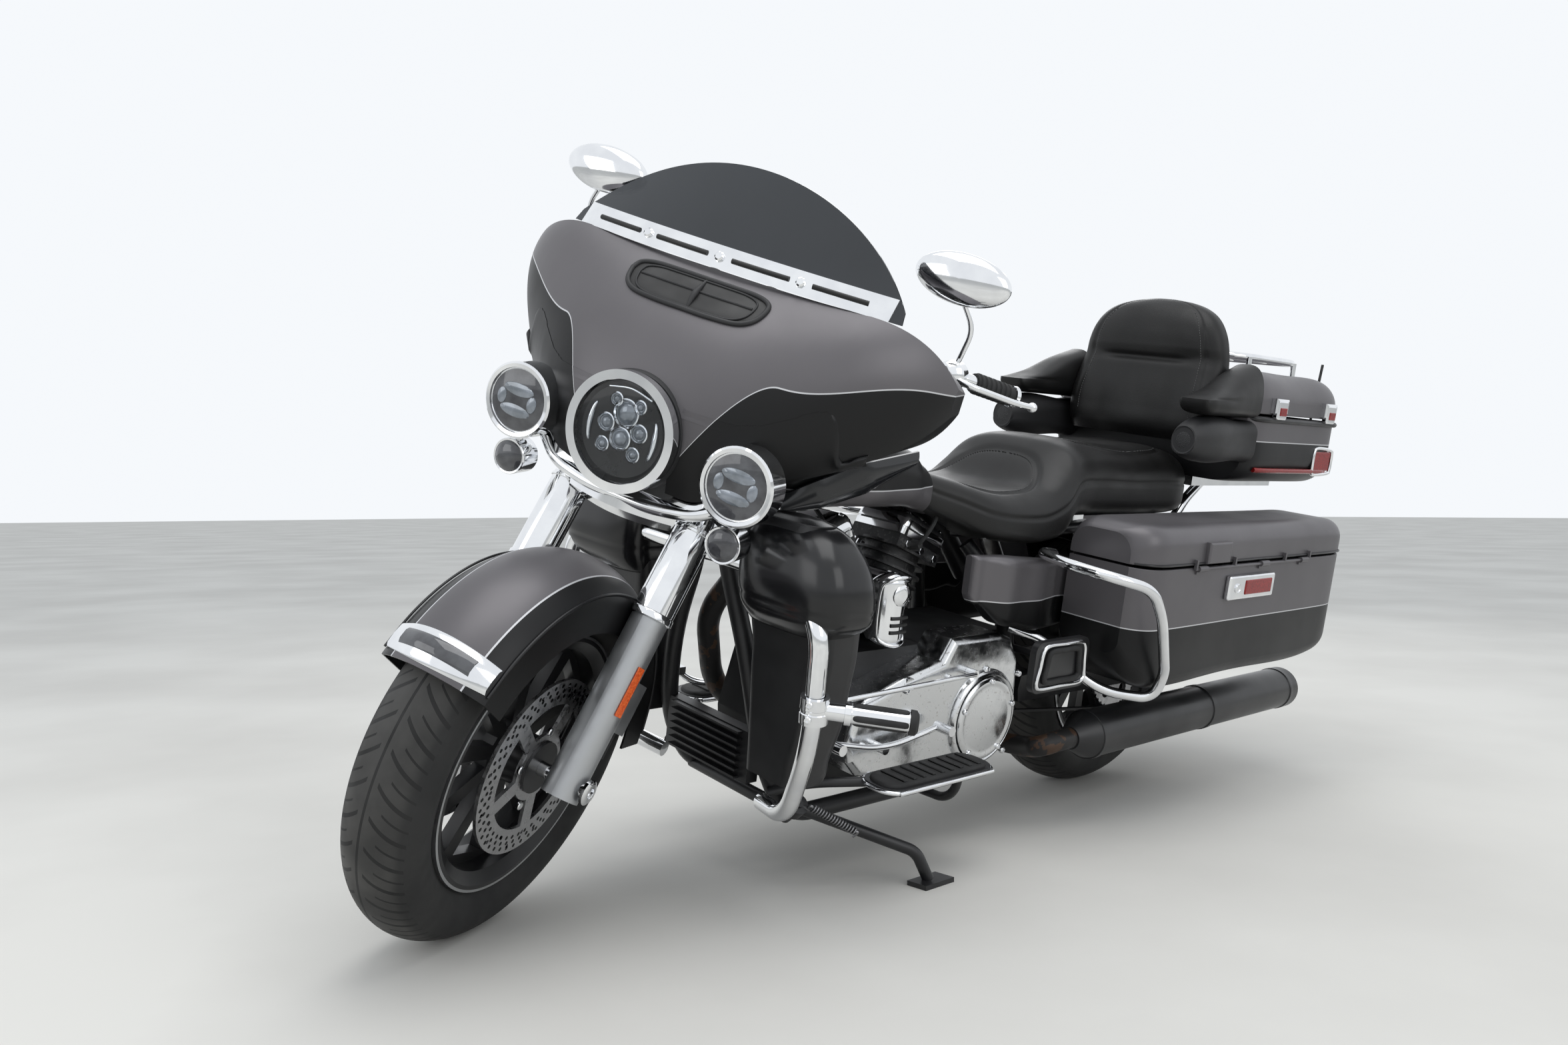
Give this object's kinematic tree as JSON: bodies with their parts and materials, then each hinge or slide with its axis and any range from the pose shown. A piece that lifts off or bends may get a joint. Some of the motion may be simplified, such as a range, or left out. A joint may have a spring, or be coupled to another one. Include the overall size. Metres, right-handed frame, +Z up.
{
  "type": "touring cruiser motorcycle",
  "caption": "Full-dress touring motorcycle with fork-mounted fairing, hard side bags, tour box, guards and folding side stand, leaning on the stand.",
  "frame": {"origin": "on the floor, below the middle of the outline", "axes": "+X to the front, +Y to the rider's left, +Z up; the machine leans 10 degrees to +Y on its side stand"},
  "size_m": [2.5535, 0.9614, 1.3814],
  "materials": {
    "grey_paint": "satin metallic",
    "black_paint": "satin",
    "chrome_bright": "polished",
    "cast_silver": "satin cast",
    "engine_black": "wrinkle black",
    "steel_dark": "machined",
    "tyre_rubber": "matte",
    "grip_rubber": "matte",
    "seat_leather": "grained",
    "trim_plastic": "textured",
    "smoke_screen": "smoked",
    "lamp_glass": "clear",
    "lamp_red": "gloss",
    "belt_black": "matte"
  },
  "bodies": {
    "chassis": {"rear_axle": "steel_dark", "drive_belt": "belt_black", "shock_absorbers": "steel_dark", "crankcase": "engine_black", "cylinders": "engine_black", "primary_cover": "cast_silver", "cam_and_gear_covers": "chrome_bright", "air_cleaner": "chrome_bright", "horn_cover": "chrome_bright", "exhaust_pipes": "engine_black", "mufflers": "black_paint", "fuel_tank": "grey_paint", "tank_console": "black_paint", "seat": "seat_leather", "side_covers": "grey_paint", "rear_fender": "black_paint", "saddlebags": "black_paint", "bag_guards": "chrome_bright", "tour_box": "black_paint", "luggage_brackets": "chrome_bright", "backrest": "seat_leather", "speaker_pods_and_antenna": "trim_plastic", "tail_lamp_and_plate": "lamp_red", "swing_arm": "black_paint", "lower_fairings": "black_paint", "footboards": "grip_rubber", "engine_guard": "chrome_bright", "foot_controls": "chrome_bright", "frame": "black_paint"},
    "fork": {"triple_clamps": "black_paint", "fork_tubes": "chrome_bright", "fork_sliders": "cast_silver", "front_axle": "chrome_bright", "front_calipers": "engine_black", "front_fender": "grey_paint", "outer_fairing": "grey_paint", "handlebar": "chrome_bright", "inner_fairing": "trim_plastic", "windshield": "smoke_screen", "windshield_trim": "chrome_bright", "headlamp": "chrome_bright", "headlamp_lens": "lamp_glass", "lamp_bar": "chrome_bright", "front_lamps": "chrome_bright", "grips": "grip_rubber", "hand_controls": "chrome_bright"},
    "front_wheel": {"front_tyre": "tyre_rubber", "front_wheel_rim": "black_paint", "front_discs": "steel_dark"},
    "rear_wheel": {"rear_tyre": "tyre_rubber", "rear_wheel_rim": "black_paint", "rear_disc_and_sprocket": "steel_dark"},
    "stand": {"side_stand": "black_paint"},
    "lid_left": {"bag_lid_left": "grey_paint"},
    "lid_right": {"bag_lid_right": "grey_paint"},
    "box_lid": {"tour_box_lid": "grey_paint", "luggage_rack": "chrome_bright"}
  },
  "joints": [
    {"name": "steering", "type": "hinge", "parent": "chassis", "child": "fork", "pos_m": [0.73421, 0.05941, 0.83642], "axis": [-0.4303, 0.1567, 0.889], "range_deg": [-56, 0]},
    {"name": "front_wheel_spin", "type": "hinge", "parent": "fork", "child": "front_wheel", "pos_m": [0.98016, -0.04042, 0.3041], "axis": [-0.4238, 0.8345, -0.3523], "continuous": true},
    {"name": "rear_wheel_spin", "type": "hinge", "parent": "chassis", "child": "rear_wheel", "pos_m": [-0.64609, -0.03223, 0.31672], "axis": [0, 0.9848, -0.1736], "continuous": true},
    {"name": "side_stand_fold", "type": "hinge", "parent": "chassis", "child": "stand", "pos_m": [0.49179, 0.12638, 0.1566], "axis": [0.0695, 0.8159, 0.5741], "range_deg": [0, 34]},
    {"name": "left_bag_lid", "type": "hinge", "parent": "chassis", "child": "lid_left", "pos_m": [-0.64326, 0.41494, 0.56076], "axis": [-1, 0.0015, 0.0088], "range_deg": [0, 70]},
    {"name": "right_bag_lid", "type": "hinge", "parent": "chassis", "child": "lid_right", "pos_m": [-0.64326, -0.36896, 0.69899], "axis": [1, -0.0015, -0.0088], "range_deg": [0, 70]},
    {"name": "tour_box_lid_hinge", "type": "hinge", "parent": "chassis", "child": "box_lid", "pos_m": [-0.64036, -0.20716, 1.00046], "axis": [1, -0.0015, -0.0088], "range_deg": [0, 75]}
  ]
}
